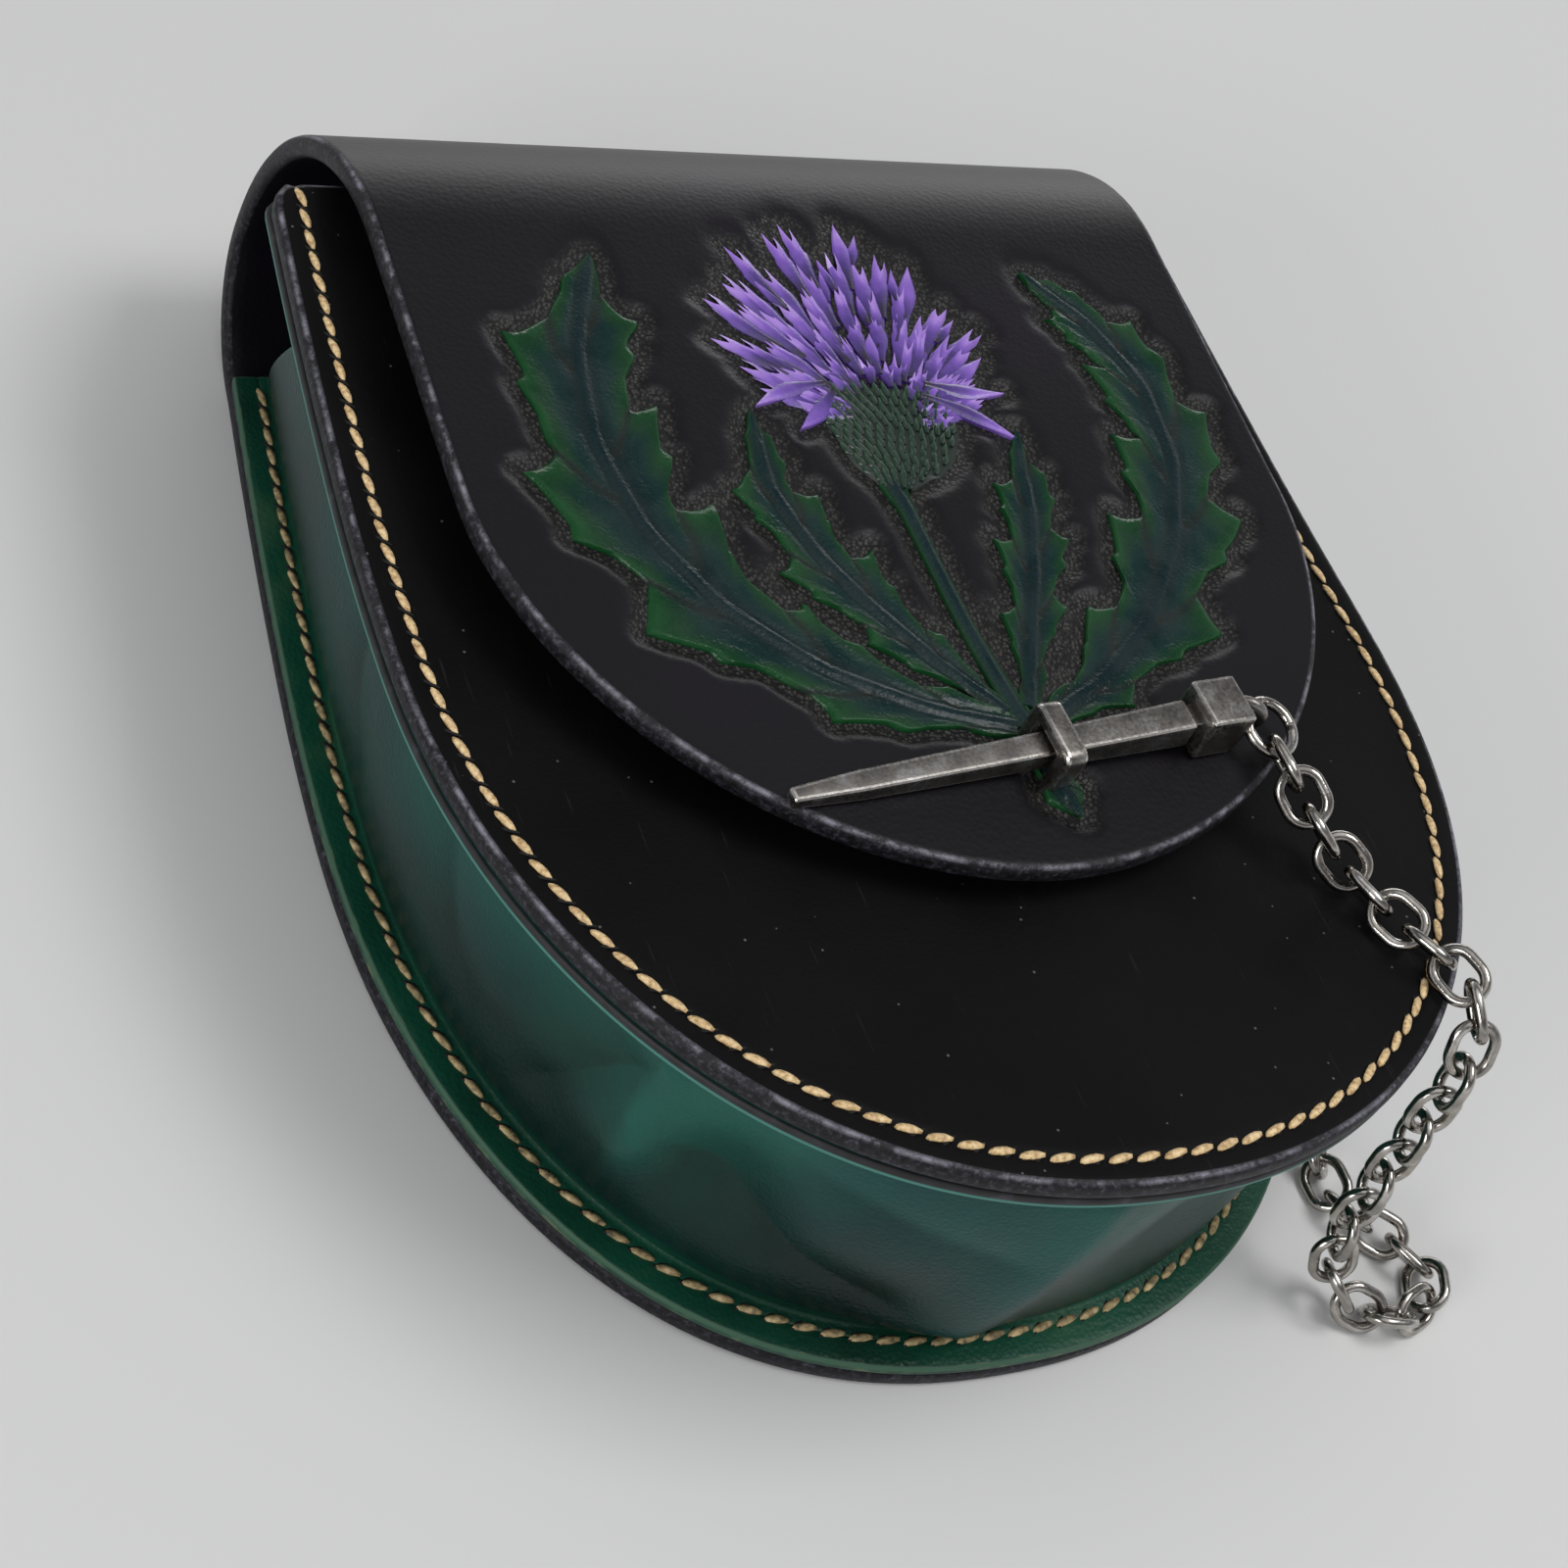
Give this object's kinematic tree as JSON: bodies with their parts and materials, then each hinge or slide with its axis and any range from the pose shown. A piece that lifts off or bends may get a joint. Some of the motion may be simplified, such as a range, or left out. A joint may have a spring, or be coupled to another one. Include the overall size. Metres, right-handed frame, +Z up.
{
  "type": "sporran pouch",
  "caption": "Leather sporran pouch with a fold-over flap, a stitched gusset, and a steel peg through a staple, kept on a fine chain.",
  "frame": {"origin": "on the back's flat resting face, in the middle of the line where the pouch is widest", "axes": "+Z up, out through the front of the pouch as it lies on its back; +Y towards the fold at its top; +X to the wearer's left, where the chain hangs"},
  "size_m": [0.1647, 0.2135, 0.0726],
  "materials": {
    "flap_black_leather": "smooth, dyed black with a purple cast, tooled",
    "panel_black_leather": "smooth, dyed black",
    "gusset_green_leather": "smooth, dyed teal green, blotchy",
    "antique_steel": "antique, worn bright at the edges",
    "chain_steel": "polished, darkened"
  },
  "bodies": {
    "root": {"back_and_flap": "flap_black_leather", "front_panel": "panel_black_leather", "gusset": "gusset_green_leather", "staple": "antique_steel", "closure_peg": "antique_steel", "chain_anchor": "chain_steel", "chain_ring": "chain_steel", "chain_link_01": "chain_steel", "chain_link_02": "chain_steel", "chain_link_03": "chain_steel", "chain_link_04": "chain_steel", "chain_link_05": "chain_steel", "chain_link_06": "chain_steel", "chain_link_07": "chain_steel", "chain_link_08": "chain_steel", "chain_link_09": "chain_steel", "chain_link_10": "chain_steel", "chain_link_11": "chain_steel", "chain_link_12": "chain_steel", "chain_link_13": "chain_steel", "chain_link_14": "chain_steel", "chain_link_15": "chain_steel", "chain_link_16": "chain_steel", "chain_link_17": "chain_steel", "chain_link_18": "chain_steel", "chain_link_19": "chain_steel", "chain_link_20": "chain_steel", "chain_link_21": "chain_steel", "chain_link_22": "chain_steel", "chain_link_23": "chain_steel", "chain_link_24": "chain_steel", "chain_link_25": "chain_steel", "chain_link_26": "chain_steel", "chain_link_27": "chain_steel", "chain_link_28": "chain_steel", "chain_link_29": "chain_steel", "chain_link_30": "chain_steel", "chain_link_31": "chain_steel", "chain_link_32": "chain_steel"}
  },
  "joints": []
}
